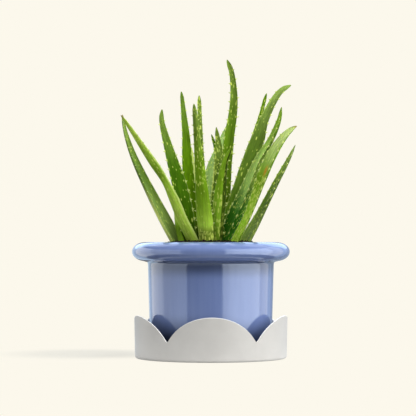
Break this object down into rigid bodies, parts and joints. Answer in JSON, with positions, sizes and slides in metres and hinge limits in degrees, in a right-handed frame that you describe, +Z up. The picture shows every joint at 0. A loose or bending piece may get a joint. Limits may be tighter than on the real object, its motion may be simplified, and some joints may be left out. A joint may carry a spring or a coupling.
{
  "type": "potted aloe vera",
  "caption": "Young aloe with pointed, toothed, fleshy leaves, rooted in soil in a glazed round pot with a thick rolled rim, standing in a lobed metal tray.",
  "frame": {"origin": "centre of the tray's flat underside", "axes": "+Z up along the pot's axis, front of the plant towards -Y, its right side towards +X"},
  "size_m": [0.175, 0.1576, 0.3014],
  "materials": {
    "tray_metal": "satin",
    "pot_glaze": "gloss",
    "soil": "matte",
    "leaf_outer_left": "satin",
    "leaf_bent_left": "satin",
    "leaf_short_left": "satin",
    "leaf_broad_left": "satin",
    "leaf_tall_left": "satin",
    "leaf_pale_left": "satin",
    "leaf_front": "satin",
    "leaf_slim_middle": "satin",
    "leaf_pale_back": "satin",
    "leaf_inner": "satin",
    "leaf_thin_inner": "satin",
    "leaf_curved_front": "satin",
    "leaf_tallest": "satin",
    "leaf_arched_right": "satin",
    "leaf_slim_right": "satin",
    "leaf_toothed_right": "satin",
    "leaf_pale_right": "satin",
    "leaf_outer_right": "satin"
  },
  "bodies": {
    "root": {"tray": "tray_metal", "pot": "pot_glaze", "soil": "soil", "leaf_outer_left": "leaf_outer_left", "leaf_bent_left": "leaf_bent_left", "leaf_short_left": "leaf_short_left", "leaf_broad_left": "leaf_broad_left", "leaf_tall_left": "leaf_tall_left", "leaf_pale_left": "leaf_pale_left", "leaf_front": "leaf_front", "leaf_slim_middle": "leaf_slim_middle", "leaf_pale_back": "leaf_pale_back", "leaf_inner": "leaf_inner", "leaf_thin_inner": "leaf_thin_inner", "leaf_curved_front": "leaf_curved_front", "leaf_tallest": "leaf_tallest", "leaf_arched_right": "leaf_arched_right", "leaf_slim_right": "leaf_slim_right", "leaf_toothed_right": "leaf_toothed_right", "leaf_pale_right": "leaf_pale_right", "leaf_outer_right": "leaf_outer_right"}
  },
  "joints": []
}
